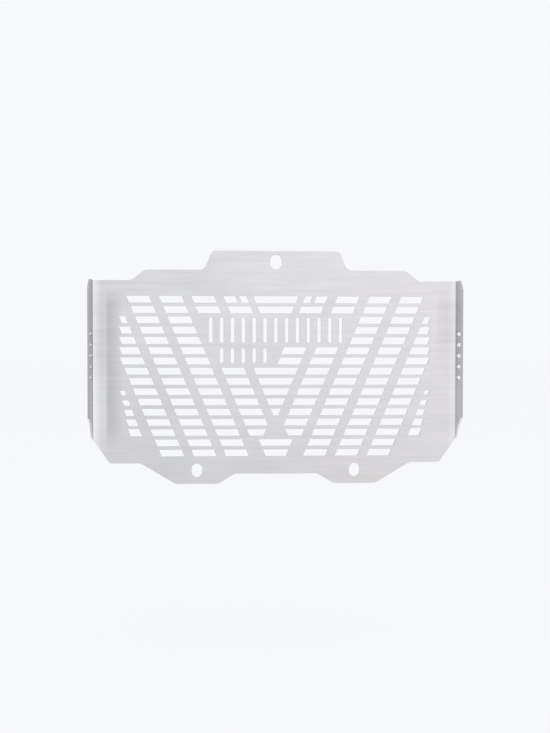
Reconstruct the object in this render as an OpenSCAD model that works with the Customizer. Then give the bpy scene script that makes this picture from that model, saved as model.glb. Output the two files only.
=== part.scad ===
// Motorcycle radiator guard: one stainless sheet, laser cut and folded back at both sides.
// It stands as it is mounted. The origin is the centre of the top bolt slot on the rear
// face, +Z is up, +Y is forwards, and the side flanges point back towards the radiator.

/* [Sheet] */
// Overall width, outside to outside of the side flanges
guard_w = 298; // [292:1:310]
// Overall height, from the tab's top edge to the edges under the lower bolt slots
guard_h = 188.8; // [186:0.2:194]
// Thickness of the sheet
sheet_t = 1.5; // [1:0.1:2]
// Inside radius of the two folds
bend_r = 1; // [0.6:0.1:2]

/* [Top edge] */
// Height of the tab's top edge above the top bolt slot
tab_rise = 8.8; // [8:0.1:14]
// Width of the tab along its top edge
tab_w = 103; // [80:1:140]
// Lean of the tab's sides, off the vertical
tab_lean = 22.7; // [5:0.1:40]
// Drop from the top bolt slot to the shoulders
shoulder_drop = 6.7; // [4:0.1:9]
// Width across the outer ends of the shoulders
shoulder_w = 211; // [180:1:222]
// Drop from the top bolt slot to the top edge beside the flanges
side_drop = 15.3; // [13:0.1:18]
// Width across the feet of the two slopes that lead down from the shoulders
slope_foot_w = 233; // [226:1:260]

/* [Bottom edge] */
// Rise of the bottom edge at the lower corners, from the lowest edges
corner_rise = 16.9; // [14:0.1:19]
// Width between the two lower corner cuts, along the bottom edge
corner_w = 268; // [256:1:276]
// Angle of the lower corner cuts above the horizontal
corner_angle = 55; // [48:0.5:60]
// Flat length of the edge under each lower bolt slot
lobe_w = 34.4; // [24:0.1:44]
// Metal between the centre of a lower bolt slot and the edge under it
lobe_drop = 10.9; // [9:0.1:14]
// Angle of the slopes beside the lower bolt slots
lobe_angle = 31; // [26:0.5:45]
// Rise of the bottom edge between the lower bolt slots, from the lowest edges
middle_rise = 8.1; // [4:0.1:13]

/* [Edge radii] */
// Radius of the tab's two outer corners
tab_r = 5; // [1:0.1:6]
// Radius in the inner corners where the tab meets the shoulders
tab_root_r = 6; // [1:0.1:8]
// Radius at both ends of the slopes below the shoulders
slope_r = 6; // [1:0.1:10]
// Radius of the lower outer corners
corner_r = 3; // [1:0.1:10]
// Radius of the rounds beside the lower bolt slots
lobe_r = 7; // [1:0.1:12]

/* [Side flanges] */
// Depth of a flange, from the rear face of the plate to its free edge
flange_d = 18; // [16:0.5:26]
// Depth of the corner cut at the top of a flange
flange_top_cut_d = 8; // [4:0.1:12]
// Height of the corner cut at the top of a flange
flange_top_cut_h = 7; // [3:0.1:12]
// Depth at which the lower edge of a flange turns flatter
flange_knee_d = 7; // [5:0.1:12]
// Height of the lower edge of a flange beyond that turn
flange_low_cut_h = 8; // [3:0.1:14]
// Radius of a flange's free corners
flange_r = 1; // [0.5:0.1:3]

/* [Flange vents] */
// Number of vents across each flange
flange_vents = 5; // [3:2:7]
// Distance from one of these vents to the next
flange_vent_pitch = 8.8; // [7:0.1:10]
// Drop from the top bolt slot to the middle one of them
flange_vent_drop = 76; // [70:1:82]
// Length of a flange vent, in the direction of the flange's depth
flange_vent_l = 12.5; // [6:0.1:12.5]
// Height of a flange vent
flange_vent_h = 3; // [2:0.1:4]

/* [Bolt slots] */
// Width of the top bolt slot
top_bolt_w = 9; // [7:0.1:10]
// Height of the top bolt slot, end to end
top_bolt_h = 12; // [11:0.1:13]
// Width of the two lower bolt slots
low_bolt_w = 8.5; // [7:0.1:10]
// Height of the two lower bolt slots, end to end
low_bolt_h = 11; // [10.5:0.1:13]
// Distance between the centres of the two lower bolt slots
low_bolt_spacing = 128.2; // [120:0.1:136]

/* [Grille] */
// Number of rows of slots
rows = 16; // [14:1:16]
// Drop from the top bolt slot to the middle of the first row
first_row_drop = 30.5; // [28:0.1:32]
// Distance from row to row
row_pitch = 8.3; // [8:0.05:8.4]
// Distance from slot to slot along a row
slot_pitch = 26.1; // [24:0.1:26.4]
// Distance from the middle of the guard to the first slot of the first row
first_slot_x = 6.1; // [5:0.1:7]
// Length of a slot along its top edge
slot_l = 18.3; // [14:0.1:19]
// Height of a slot
slot_h = 5.5; // [4:0.1:6.5]
// Lean of the slot ends and of the columns, off the vertical
slant = 22.7; // [21:0.1:24]
// Radius in the corners of the slots
slot_r = 0.4; // [0.2:0.1:1]
// Width of the field in which slots are cut
field_w = 253.4; // [248:0.1:256]
// Extra half width of the middle slot in the two top rows
crown_extra = 2; // [0:0.1:3]
// Width of the bar that splits the slots beside the middle one in the first row
split_bar_w = 3.5; // [2:0.1:5]
// Distance from the middle of the guard to the middle of that bar
split_bar_x = 30.4; // [29:0.1:31]
// Half width of the web between the two middle slots of the last full row
keel_x = 8.9; // [6:0.1:10]

/* [Side slots] */
// Number of short slots outside the columns on each side
side_slots = 5; // [1:1:5]
// Drop from the top bolt slot to the middle of the first short slot
side_slot_drop = 106.3; // [105:0.1:108]
// Distance from one short slot to the next
side_slot_pitch = 8; // [7.8:0.05:8.3]
// Distance from the middle of the guard to the outer end of the first short slot
side_slot_x = 126.1; // [123:0.1:128]
// Lean of the line on which the short slots end, off the vertical
side_slot_lean = 11; // [10:0.5:14]
// Length of the first short slot along its top edge
side_slot_l = 4; // [3:0.1:4]
// How much longer each short slot is than the one above it
side_slot_longer = 1.3; // [0.8:0.1:1.4]
// Height of the first short slot
side_slot_h = 3.7; // [3.5:0.1:4.8]
// How much taller each short slot is than the one above it
side_slot_taller = 0.6; // [0:0.05:0.7]

/* [Panel vents] */
// Number of upright vents in the plain panel
panel_vents = 13; // [5:2:13]
// Number of shorter vents below them, on the left
low_vents = 5; // [1:1:5]
// Distance from vent to vent
vent_pitch = 8.8; // [7:0.1:9]
// Width of a vent
vent_w = 2.8; // [1.5:0.1:4]
// Height of the upright vents
vent_h = 20.4; // [14:0.1:21]
// Height of the shorter vents
low_vent_h = 12; // [8:0.1:12.4]

/* [Foot slots] */
// Half width of the upper one of the two foot slots, along its top edge
foot_slot_x = 14; // [8:0.1:15]

/* [Hidden] */
$fn = 48;

// Where the sheet keeps its length in a fold, as a share of its thickness from the inside
neutral = 0.42;
// Largest turn between two points of a rounded edge, and of a slot's rounded corner
edge_step = 12;
slot_step = 60;
// Flat steps in which a corner cut climbs round its fold
fold_steps = 6;
// Shortest slot that is still cut at the side of the field
shortest_slot = 3;

// Rows of the wide panel, rows of its extension on the left, and the columns both leave out
panel_rows = [3, 5];
low_panel_rows = [6, 7];
panel_columns = 3;
last_column = 5;
crown_rows = 2;
// Slot whose inner end leans outwards, at the lower end of the full rows
keel_row = 14;
keel_column = 2;

half_w = guard_w / 2;
// The plate is flat up to this distance from the middle, where the folds start
flat_x = half_w - sheet_t - bend_r;
fold_rise = (bend_r + neutral * sheet_t) * PI / 2 * tan(corner_angle);
// Heights of the lowest edges, of the edge between them and of the edge at the corners
lobe_z = tab_rise - guard_h;
middle_z = lobe_z + middle_rise;
corner_z = lobe_z + corner_rise;
// Heights of the lower corner cut where the fold starts, where it ends and at the knee
cut_z = corner_z + (flat_x - corner_w / 2) * tan(corner_angle);
flange_z = cut_z + fold_rise;
knee_z = flange_z + (flange_knee_d - bend_r) * tan(corner_angle);

slot_shift = slot_h * tan(slant);
row_shift = row_pitch * tan(slant);
lobe_in = low_bolt_spacing / 2 - lobe_w / 2;
lobe_out = low_bolt_spacing / 2 + lobe_w / 2;
tab_foot = tab_w / 2 + (tab_rise + shoulder_drop) * tan(tab_lean);

function unit(v) = v / norm(v);
function turned(v, a) = [v[0] * cos(a) - v[1] * sin(a), v[0] * sin(a) + v[1] * cos(a)];

// Points of the arc of radius r that rounds the corner b between its neighbours a and c
function corner_arc(a, b, c, r, step) =
    let (
        u = unit(a - b),
        v = unit(c - b),
        half = acos(u * v) / 2,
        middle = b + unit(u + v) * r / sin(half),
        start = b + u * r / tan(half) - middle,
        way = u[0] * v[1] - u[1] * v[0] > 0 ? -1 : 1,
        turn = way * (180 - 2 * half),
        steps = ceil(abs(turn) / step)
    )
    [for (k = [0:steps]) middle + turned(start, turn * k / steps)];

// Corners [x, z, radius] become points, with an arc at each corner that has a radius
function rounded(corners, step) =
    let (n = len(corners), flat = [for (c = corners) [c[0], c[1]]])
    [for (i = [0:n - 1]) each
        corners[i][2] > 0
            ? corner_arc(flat[(i + n - 1) % n], flat[i], flat[(i + 1) % n], corners[i][2], step)
            : [flat[i]]];

// Right half of the plate's edge, from the bottom up
edge_corners = [
    [lobe_in - middle_rise / tan(lobe_angle), middle_z, lobe_r],
    [lobe_in, lobe_z, lobe_r],
    [lobe_out, lobe_z, lobe_r],
    [lobe_out + corner_rise / tan(lobe_angle), corner_z, lobe_r],
    [corner_w / 2, corner_z, corner_r],
    [flat_x, cut_z, 0],
    [flat_x, -side_drop, 0],
    [slope_foot_w / 2, -side_drop, slope_r],
    [shoulder_w / 2, -shoulder_drop, slope_r],
    [tab_foot, -shoulder_drop, tab_root_r],
    [tab_w / 2, tab_rise, tab_r],
];

module plate_outline() {
    last = len(edge_corners) - 1;
    left = [for (i = [last:-1:0]) let (c = edge_corners[i]) [-c[0], c[1], c[2]]];
    polygon(rounded(concat(edge_corners, left), edge_step));
}

// Upright slot with round ends, for a bolt or for air
module obround(w, h) {
    translate([0, h / 2 - w / 2]) circle(d = w);
    translate([0, w / 2 - h / 2]) circle(d = w);
    square([w, h - w], center = true);
}

module bolt_slots() {
    obround(top_bolt_w, top_bolt_h);
    for (side = [-1, 1])
        translate([side * low_bolt_spacing / 2, lobe_z + lobe_drop])
            obround(low_bolt_w, low_bolt_h);
}

// Slot between two distances from the middle, measured along its top edge. Its ends lean
// towards the middle by the given shifts on the way down.
module leaning_slot(inner_x, outer_x, top_z, h, inner_shift, outer_shift) {
    polygon(rounded([
        [inner_x, top_z, slot_r],
        [inner_x - inner_shift, top_z - h, slot_r],
        [outer_x - outer_shift, top_z - h, slot_r],
        [outer_x, top_z, slot_r],
    ], slot_step));
}

function row_z(row) = -first_row_drop - (row - 1) * row_pitch;
function in_rows(row, span) = row >= span[0] && row <= span[1];

// Distances from the middle to the top corners of a column's slot in a row
function slot_outer(row, column) =
    first_slot_x + column * slot_pitch - (row - 1) * row_shift + (slot_l + slot_shift) / 2;
function slot_inner(row, column) = slot_outer(row, column) - slot_l;

// First column that is cut in a row, on the right (side 1) or on the left (side -1)
function first_column(row, side) =
    in_rows(row, panel_rows) || row > keel_row || (side < 0 && in_rows(row, low_panel_rows))
        ? panel_columns
        : 0;

// Slot of a row with both ends leaning inwards, straddling the middle
module middle_slot(row, outer_x) {
    leaning_slot(-outer_x, outer_x, row_z(row) + slot_h / 2, slot_h, -slot_shift, slot_shift);
}

// The slots that would cross the middle are one slot there
module middle_slots() {
    for (row = [1:rows], column = [0:1]) {
        outer = slot_outer(row, column) + (row > crown_rows ? 0 : crown_extra);
        full_row = first_column(row, -1) == 0 && first_column(row, 1) == 0;
        if (full_row && slot_inner(row, column) <= slot_shift && outer > slot_shift + slot_r)
            middle_slot(row, outer);
    }
    if (rows > keel_row)
        for (row = [keel_row + 1:rows])
            middle_slot(row, foot_slot_x - (row - keel_row - 1) * row_shift);
}

// Slots of the columns on one side of the middle, cut short where the field ends
module column_slots(side) {
    for (row = [1:rows], column = [first_column(row, side):last_column]) {
        keel = row == keel_row && column == keel_column;
        inner = keel ? keel_x - slot_shift / 2 : slot_inner(row, column);
        outer = min(slot_outer(row, column), field_w / 2);
        top_z = row_z(row) + slot_h / 2;
        bar_x = split_bar_x + slot_shift / 2;
        if (row == 1 && column == 1) {
            leaning_slot(inner, bar_x - split_bar_w / 2, top_z, slot_h, slot_shift, slot_shift);
            leaning_slot(bar_x + split_bar_w / 2, outer, top_z, slot_h, slot_shift, slot_shift);
        } else if (inner > slot_shift && outer - inner > shortest_slot)
            leaning_slot(inner, outer, top_z, slot_h, keel ? -slot_shift : slot_shift,
                slot_shift);
    }
}

// Short slots outside the columns, longer and taller from one to the next
module short_slots() {
    for (k = [0:side_slots - 1]) {
        h = side_slot_h + k * side_slot_taller;
        outer = side_slot_x - k * side_slot_pitch * tan(side_slot_lean);
        inner = outer - side_slot_l - k * side_slot_longer;
        top_z = h / 2 - side_slot_drop - k * side_slot_pitch;
        leaning_slot(inner, outer, top_z, h, h * tan(slant), h * tan(slant));
    }
}

// Upright vents in the two parts of the plain panel
module vents() {
    wide_z = (row_z(panel_rows[0]) + row_z(panel_rows[1])) / 2;
    low_z = (row_z(low_panel_rows[0]) + row_z(low_panel_rows[1])) / 2;
    for (k = [0:panel_vents - 1])
        translate([(k - (panel_vents - 1) / 2) * vent_pitch, wide_z]) obround(vent_w, vent_h);
    for (k = [1:low_vents])
        translate([-k * vent_pitch, low_z]) obround(vent_w, low_vent_h);
}

module half_grille(side) {
    column_slots(side);
    short_slots();
}

// The flat middle of the guard, with all its openings
module plate() {
    translate([0, sheet_t, 0])
        rotate([90, 0, 0])
            linear_extrude(sheet_t)
                difference() {
                    plate_outline();
                    bolt_slots();
                    middle_slots();
                    half_grille(1);
                    mirror([1, 0]) half_grille(-1);
                    vents();
                }
}

// Quarter bend on the right, whose lower end climbs evenly from the plate to the flange
module fold() {
    reach = 1.5 * (bend_r + sheet_t);
    translate([flat_x, -bend_r, cut_z])
        difference() {
            rotate_extrude(angle = 90)
                translate([bend_r, 0])
                    square([sheet_t, -side_drop - cut_z]);
            linear_extrude(fold_rise, twist = 90, slices = fold_steps, segments = 4)
                polygon([[0, 0], [reach, -reach], [reach, reach], [0, reach]]);
        }
}

// Row of vents that lie across a flange, one above the other
module cross_vents() {
    for (k = [0:flange_vents - 1])
        translate([0, (k - (flange_vents - 1) / 2) * flange_vent_pitch])
            rotate(90) obround(flange_vent_h, flange_vent_l);
}

// Flange on the right, drawn by its depth behind the plate and its height
module flange() {
    translate([flat_x + bend_r, 0, 0])
        rotate([90, 0, 90])
            linear_extrude(sheet_t)
                difference() {
                    polygon(rounded([
                        [-bend_r, -side_drop, 0],
                        [flange_top_cut_d - flange_d, -side_drop, flange_r],
                        [-flange_d, -side_drop - flange_top_cut_h, flange_r],
                        [-flange_d, knee_z + flange_low_cut_h, flange_r],
                        [-flange_knee_d, knee_z, flange_r],
                        [-bend_r, flange_z, 0],
                    ], edge_step));
                    translate([-flange_d / 2, -flange_vent_drop]) cross_vents();
                }
}

module guard_sheet() {
    color([0.84, 0.84, 0.85]) {
        plate();
        fold();
        flange();
        mirror([1, 0, 0]) {
            fold();
            flange();
        }
    }
}

guard_sheet();
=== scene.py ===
from math import radians

import bpy
from mathutils import Matrix, Vector


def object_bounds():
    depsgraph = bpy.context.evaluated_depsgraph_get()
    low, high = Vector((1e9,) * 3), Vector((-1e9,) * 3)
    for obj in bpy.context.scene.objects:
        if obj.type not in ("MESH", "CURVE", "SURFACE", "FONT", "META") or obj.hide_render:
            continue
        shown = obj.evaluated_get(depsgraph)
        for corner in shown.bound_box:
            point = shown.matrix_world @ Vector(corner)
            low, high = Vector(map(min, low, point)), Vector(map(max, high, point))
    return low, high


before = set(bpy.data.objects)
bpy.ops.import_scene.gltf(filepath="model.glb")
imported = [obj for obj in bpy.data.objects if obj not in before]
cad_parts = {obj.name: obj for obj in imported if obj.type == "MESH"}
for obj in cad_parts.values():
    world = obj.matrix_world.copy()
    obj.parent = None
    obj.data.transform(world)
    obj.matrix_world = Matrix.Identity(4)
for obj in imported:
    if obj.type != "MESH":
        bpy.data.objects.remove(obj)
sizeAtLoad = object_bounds()
lowest, highest = sizeAtLoad
print("loaded the frame")


# an output in a node tree, which takes part in sums and products as a number does
class Wire:
    def __init__(self, tree, socket):
        self.tree = tree
        self.socket = socket

    def math(self, operation, other):
        return addNode(self.tree, "ShaderNodeMath", {0: self, 1: other}, operation=operation)

    def __add__(self, other):
        return self.math("ADD", other)

    def __sub__(self, other):
        return self.math("SUBTRACT", other)

    def __rsub__(self, other):
        return addNode(self.tree, "ShaderNodeMath", {0: other, 1: self}, operation="SUBTRACT")

    def __mul__(self, other):
        return self.math("MULTIPLY", other)

    def __abs__(self):
        return addNode(self.tree, "ShaderNodeMath", {0: self}, operation="ABSOLUTE")

    __radd__ = __add__
    __rmul__ = __mul__

    def larger(self, other):
        return self.math("MAXIMUM", other)


# adds a node with its settings, sets or links its inputs and gives back one of its outputs
def addNode(tree, kind, inputs=None, output=0, **settings):
    node = tree.nodes.new(kind)
    for name, value in settings.items():
        setattr(node, name, value)
    for key, value in (inputs or {}).items():
        target = node.inputs[key]
        if isinstance(value, Wire):
            tree.links.new(value.socket, target)
        else:
            target.default_value = value
    return Wire(tree, node.outputs[output]) if node.outputs else None


def newMaterial(name):
    material = bpy.data.materials.new(name)
    material.use_nodes = True
    material.node_tree.nodes.clear()
    return material


# sRGB levels from 0 to 255 as the linear colour that a node takes
def linear(*levels):
    parts = [v / 255 for v in levels]
    return [p / 12.92 if p <= 0.04045 else ((p + 0.055) / 1.055) ** 2.4 for p in parts] + [1]


# 0 at low and 1 at high, with a soft start and end
def ease(wire, low, high):
    return addNode(
        wire.tree,
        "ShaderNodeMapRange",
        {"Value": wire, "From Min": low, "From Max": high},
        interpolation_type="SMOOTHSTEP",
    )


# mixes two colours, whose sockets on the mix node are its inputs 6 and 7 and its output 2
def blendColours(tree, share, first, second):
    inputs = {0: share, 6: first, 7: second}
    return addNode(tree, "ShaderNodeMix", inputs, output=2, data_type="RGBA")


# the X, Y and Z of a vector
def axes(vector):
    parts = addNode(vector.tree, "ShaderNodeSeparateXYZ", {0: vector})
    return [Wire(vector.tree, socket) for socket in parts.socket.node.outputs]


# noise from about -1 to 1, drawn out on the axes where its scale is smaller
def drawnNoise(tree, scales, detail=2):
    place = addNode(tree, "ShaderNodeTexCoord", output="Object")
    stretched = addNode(
        tree, "ShaderNodeVectorMath", {0: place, 1: scales}, operation="MULTIPLY"
    )
    noise = addNode(tree, "ShaderNodeTexNoise", {"Vector": stretched, "Scale": 1, "Detail": detail})
    return noise * 2 - 1


# level streaks, which run along the sheet and round its folds
def streaks(tree, along, across, detail=2):
    return drawnNoise(tree, (along, along, across), detail)


steel = {
    "bend": 0.001,  # inside radius of the folds, in metres as every length here
    "warm": linear(225, 221.5, 222.3),  # the two tints that the sheet drifts between
    "cool": linear(221.7, 223, 224.2),
    "tints": {"along": 9, "across": 60},  # how many to the metre, as for the streaks
    "fine": {"along": 14, "across": 2600},
    "broad": {"along": 16, "across": 260, "detail": 3},
    "blotches": {"along": 26, "across": 40},
    "fineShade": 0.05,  # how far the streaks lighten and darken the sheet
    "broadShade": 0.095,
    "blotchShade": 0.05,
    "roughness": 0.22,
    "grainRoughness": 0.03,
    "grainDepth": 0.000006,
    "anisotropy": 0.8,
    "anisotropyTurn": 0.25,  # as a share of a full turn
    "bevel": 0.0002,
    "rolled": 0.006,  # width of the strip beside a fold that the bending rolled a little, which also carries a painted highlight
    "rolledCurve": 14,  # its height is this times the square of the distance into it
    "paintedFoldHighlight": 0.16,  # painted highlight: how much lighter the strip is at the fold
    # Painted shade on the rear face, beside the folds and on the upper left, and below zero a
    # painted highlight:
    # how dark, or below zero how bright, then where each comes in and goes out across and down the
    # sheet.
    "paintedShadeBands": [
        (0.20, (-0.1378, -0.1350), (-0.1215, -0.1340), (-0.021, -0.037), (-0.152, -0.128)),
        (0.08, (-0.1500, -0.1490), (-0.1340, -0.1390), (-0.024, -0.044), (-0.096, -0.070)),
        (-0.06, (-0.1500, -0.1490), (-0.1350, -0.1380), (-0.085, -0.110), (-0.160, -0.145)),
        (0.09, (0.1290, 0.1370), (0.1500, 0.1490), (-0.020, -0.038), (-0.086, -0.062)),
        (0.04, (-0.1500, -0.1490), (-0.0200, -0.0700), (0.020, 0.010), (-0.042, -0.026)),
    ],
}
thickness = highest.y  # the sheet's rear face is at Y 0
foldX = highest.x - thickness - steel["bend"]  # where the flat sheet meets a fold


# the painted shade that a band puts on the sheet; below zero depth, a painted highlight
def paintedShade(place, band):
    depth, left, right, top, bottom = band
    across = ease(place[0], *left) * ease(place[0], *right)
    return across * ease(place[2], *top) * ease(place[2], *bottom) * depth


# 1 on the rear face, and 0 on the front face and down the flanges
def rearFace(y):
    rearHalf = ease(y, thickness * 2 / 3, thickness / 3)
    return rearHalf * ease(y, -1.2 * steel["bend"], -0.2 * steel["bend"])


# the brushed faces, with the rolled strips and their painted highlight, and the painted shade bands
# on the rear one
def brushedFace(tree, place, side, rounded):
    rear = rearFace(place[1])
    strip = (side - foldX + steel["rolled"]).larger(0) * rear
    fine = streaks(tree, **steel["fine"])
    # grain tone, plus a painted highlight on the rolled strips beside the folds
    grainToneAndPaintedLight = (
        fine * steel["fineShade"]
        + streaks(tree, **steel["broad"]) * steel["broadShade"]
        + streaks(tree, **steel["blotches"]) * steel["blotchShade"]
        + strip * (steel["paintedFoldHighlight"] / steel["rolled"])
        + 1
    )
    # the bands take painted shade off the tone, and add a painted highlight where their depth is
    # below zero
    for band in steel["paintedShadeBands"]:
        grainToneAndPaintedLight = grainToneAndPaintedLight - paintedShade(place, band) * rear
    drift = streaks(tree, **steel["tints"]) * 0.5 + 0.5
    plain = blendColours(tree, drift, steel["warm"], steel["cool"])
    colour = addNode(tree, "ShaderNodeVectorMath", {0: plain, "Scale": grainToneAndPaintedLight}, operation="SCALE")
    height = fine * steel["grainDepth"] + strip * strip * steel["rolledCurve"]
    bump = addNode(  # the height is in metres, so the distance is 1
        tree,
        "ShaderNodeBump",
        {"Height": height, "Strength": 1, "Distance": 1, "Normal": rounded},
    )
    return addNode(
        tree,
        "ShaderNodeBsdfPrincipled",
        {
            "Base Color": colour,
            "Metallic": 1.0,
            "Roughness": fine * steel["grainRoughness"] + steel["roughness"],
            "Anisotropic": steel["anisotropy"],
            "Anisotropic Rotation": steel["anisotropyTurn"],
            "Normal": bump,
        },
    )


edges = {
    "roughness": 0.4,
    "tint": linear(223, 223, 223),
    "furrows": (2600, 90, 2600),  # how many to the metre along X, Y and Z
    "furrowDepth": 0.000015,
    "cut": 0.468,  # lightness of the cut edges
    "cutLit": 0.85,  # and of those that catch the light
    "rim": (0.0002, 0.0008),  # from a flange's free edge to where its other cuts begin
    "inner": 0.55,  # painted shade: lightness of the left flange's inner face beside its fold
    "innerShadeFadeToFree": 0.14,  # what is added to it towards the free edge, as the painted shade by the fold fades
    "innerRightLight": 0.13,  # painted light added on the right flange
    "innerLowLight": 0.05,  # painted light added low on both flanges
    "innerLowRightLight": 0.07,  # and more painted light low on the right one
    "low": (-0.075, -0.115),  # the Z where low begins and where it is reached
}


# 1 on the cut edges of the sheet and 0 on its faces
def cutEdges(side, y, normal):
    nx, ny = normal[:2]
    plate = ease(side, foldX + 0.2 * steel["bend"], foldX)
    flange = ease(y, -0.8 * steel["bend"], -1.2 * steel["bend"])
    fold = 1 - plate - flange
    # near 1 where the sheet's face is, and near 0 on a cut
    face = ny * ny * plate + nx * nx * flange + (nx * nx + ny * ny) * fold
    return ease(face, 0.6, 0.3)


# 1 on the flanges' inner faces, which look at each other
def innerFaces(place, normal):
    inward = place[0] * normal[0] * -1  # above 0 where a face looks towards the middle
    return ease(inward, 0.02, 0.1) * ease(place[1], 0, -0.6 * steel["bend"])


# 1 on the cuts that catch the light: the flanges' own, but not their free edges or tops
def litCuts(y, up):
    near, far = edges["rim"]
    within = ease(y, 0, -steel["bend"]) * ease(y, lowest.y + near, lowest.y + far)
    return within * ease(up, 0.5, 0.1)


# how light the cut edges and the flanges' inner faces are, with painted shade on the inner faces by
# the folds and painted light on them low and on the right
def edgeToneWithPaintedLight(place, normal, cut):
    x, y, z = place
    free = ease(y, -steel["bend"], lowest.y + steel["bend"])
    right = ease(x, lowest.x, highest.x)
    low = ease(z, *edges["low"])
    # inner faces: painted shade by the fold that fades towards the free edge, and painted light low
    # and on the right
    inner = (
        free * edges["innerShadeFadeToFree"]
        + right * edges["innerRightLight"]
        + low * (right * edges["innerLowRightLight"] + edges["innerLowLight"])
        + edges["inner"]
    )
    tone = litCuts(y, normal[2]) * (edges["cutLit"] - edges["cut"]) + edges["cut"]
    return cut * (tone - inner) + inner


# the cut edges and the flanges' inner faces, rougher than the brushed ones, with painted shade and
# painted light in their colour
def dullShadedEdge(tree, place, normal, cut, rounded):
    furrows = addNode(
        tree,
        "ShaderNodeBump",
        {
            "Height": drawnNoise(tree, edges["furrows"]),
            "Strength": 1,
            "Distance": edges["furrowDepth"],
            "Normal": rounded,
        },
    )
    return addNode(
        tree,
        "ShaderNodeBsdfPrincipled",
        {
            "Base Color": edgeToneWithPaintedLight(place, normal, cut),
            "Metallic": 1.0,
            "Roughness": edges["roughness"],
            "Specular Tint": edges["tint"],
            "Normal": furrows,
        },
    )


def brushedSteel():
    material = newMaterial("brushedStainless")
    tree = material.node_tree
    place = axes(addNode(tree, "ShaderNodeTexCoord", output="Object"))
    normal = axes(addNode(tree, "ShaderNodeTexCoord", output="Normal"))
    rounded = addNode(tree, "ShaderNodeBevel", {"Radius": steel["bevel"]}, samples=4)
    side = abs(place[0])
    cut = cutEdges(side, place[1], normal)
    face = brushedFace(tree, place, side, rounded)
    edge = dullShadedEdge(tree, place, normal, cut, rounded)
    # where the rough edge colour goes, with its painted shade on the flanges' inner faces
    dullAndShaded = cut.larger(innerFaces(place, normal))
    surface = addNode(tree, "ShaderNodeMixShader", {0: dullAndShaded, 1: face, 2: edge})
    addNode(tree, "ShaderNodeOutputMaterial", {"Surface": surface})
    return material


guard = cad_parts["guard_sheet"]
guard.data.materials.clear()
guard.data.materials.append(brushedSteel())
print("guard has its material")


studio = {
    "background": linear(247, 248, 250),
    "behind": (0, -0.5),  # the Y of a direction where the room behind the camera fades in
    "sides": (-0.15, 0.25),  # and the X where that room turns from its left to its right
    "cool": linear(246.5, 248, 250.5),  # its left
    "warm": linear(248.6, 247, 249),  # its right
    "towardsTop": 0.6,  # how much lighter it is towards its top
    "towardsRight": 0.18,
    "floorZ": -0.34,
    "floorSize": 30,
    "floorMatt": linear(235.5, 236, 236.5),
    "floorShade": 0.15,  # share of the floor's look that takes light and shadow
}


# the rays that see the plain background: from the camera and by way of metal or glass
def backgroundRays(tree):
    kinds = ("Is Camera Ray", "Is Glossy Ray", "Is Transmission Ray")
    camera, glossy, passing = [addNode(tree, "ShaderNodeLightPath", output=k) for k in kinds]
    return camera.larger(glossy).larger(passing)


# Colour and strength of the room in a direction. The camera sees it plain. In reflections,
# what lies behind the camera is lighter above and warmer on the right.
def roomLight(tree, direction):
    x, y, z = axes(direction)
    camera = addNode(tree, "ShaderNodeLightPath", output="Is Camera Ray")
    behind = ease(y, *studio["behind"]) * (1 - camera)
    tint = blendColours(tree, ease(x, *studio["sides"]), studio["cool"], studio["warm"])
    colour = blendColours(tree, behind, studio["background"], tint)
    return colour, (x * studio["towardsRight"] + z * studio["towardsTop"]) * behind + 1


# a place on the floor is lit as its direction from the guard's lower edge says
def floorMaterial():
    material = newMaterial("paleFloor")
    tree = material.node_tree
    place = addNode(tree, "ShaderNodeTexCoord", output="Object")
    drop = (0, 0, studio["floorZ"] - lowest.z)
    fromGuard = addNode(tree, "ShaderNodeVectorMath", {0: place, 1: drop}, operation="ADD")
    direction = addNode(tree, "ShaderNodeVectorMath", {0: fromGuard}, operation="NORMALIZE")
    colour, strength = roomLight(tree, direction)
    matt = addNode(tree, "ShaderNodeBsdfDiffuse", {"Color": studio["floorMatt"]})
    plain = addNode(tree, "ShaderNodeEmission", {"Color": colour, "Strength": strength})
    share = backgroundRays(tree) * (1 - studio["floorShade"])
    surface = addNode(tree, "ShaderNodeMixShader", {0: share, 1: matt, 2: plain})
    addNode(tree, "ShaderNodeOutputMaterial", {"Surface": surface})
    return material


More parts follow.
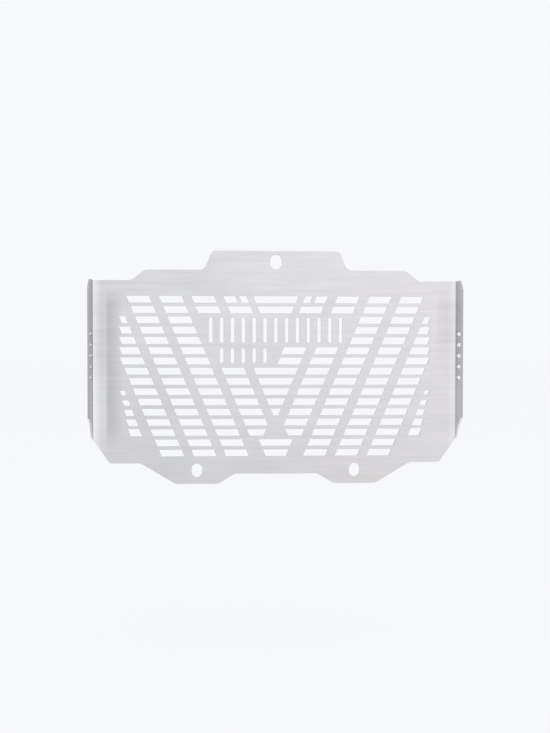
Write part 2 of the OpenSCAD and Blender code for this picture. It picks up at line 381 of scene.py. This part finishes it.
def addFloor():
    half = studio["floorSize"] / 2
    mesh = bpy.data.meshes.new("floor")
    corners = [(-half, -half, 0), (half, -half, 0), (half, half, 0), (-half, half, 0)]
    mesh.from_pydata(corners, [], [(0, 1, 2, 3)])
    mesh.materials.append(floorMaterial())
    floor = bpy.data.objects.new("floor", mesh)
    floor.location.z = studio["floorZ"]
    bpy.context.scene.collection.objects.link(floor)


def setWorld():
    world = bpy.data.worlds.new("studio")
    world.use_nodes = True
    bpy.context.scene.world = world
    tree = world.node_tree
    tree.nodes.clear()
    colour, strength = roomLight(tree, addNode(tree, "ShaderNodeTexCoord", output="Generated"))
    light = addNode(tree, "ShaderNodeBackground", {"Color": colour, "Strength": strength})
    addNode(tree, "ShaderNodeOutputWorld", {"Surface": light})


overhead = {
    "size": (1.6, 1.2),
    "place": (0.2, -0.7, 1.3),
    "target": (0, 0, -0.08),
    "power": 4,  # in watts
}


def addSoftbox(name, size, place, target, power):
    lamp = bpy.data.lights.new(name, "AREA")
    lamp.shape = "RECTANGLE"
    lamp.size, lamp.size_y = size
    lamp.energy = power
    box = bpy.data.objects.new(name, lamp)
    box.location = place
    box.rotation_euler = (Vector(target) - Vector(place)).to_track_quat("-Z", "Y").to_euler()
    box.visible_camera = False
    bpy.context.scene.collection.objects.link(box)


addFloor()
setWorld()
addSoftbox("overhead", **overhead)
print("studio is set")


view = {
    "place": (-0.0390, -0.750, -0.0676),
    "turn": 2.918,  # degrees to the right
    "tilt": -1.315,  # degrees up from level
    "roll": 0.06,  # degrees anticlockwise
    "focal": 925.2,  # in pixels, as the picture's height is
    "pictureHeight": 733,
    "nearest": 0.01,  # what is closer than this isn't drawn
}


def addCamera():
    data = bpy.data.cameras.new("camera")
    data.lens = view["focal"] / view["pictureHeight"] * data.sensor_width
    data.clip_start = view["nearest"]
    camera = bpy.data.objects.new("camera", data)
    camera.matrix_world = (
        Matrix.Translation(view["place"])
        @ Matrix.Rotation(-radians(view["turn"]), 4, "Z")
        @ Matrix.Rotation(radians(90 + view["tilt"]), 4, "X")
        @ Matrix.Rotation(radians(view["roll"]), 4, "Z")
    )
    bpy.context.scene.collection.objects.link(camera)
    bpy.context.scene.camera = camera


addCamera()
bpy.context.scene.view_settings.view_transform = "Standard"
print("camera is set")
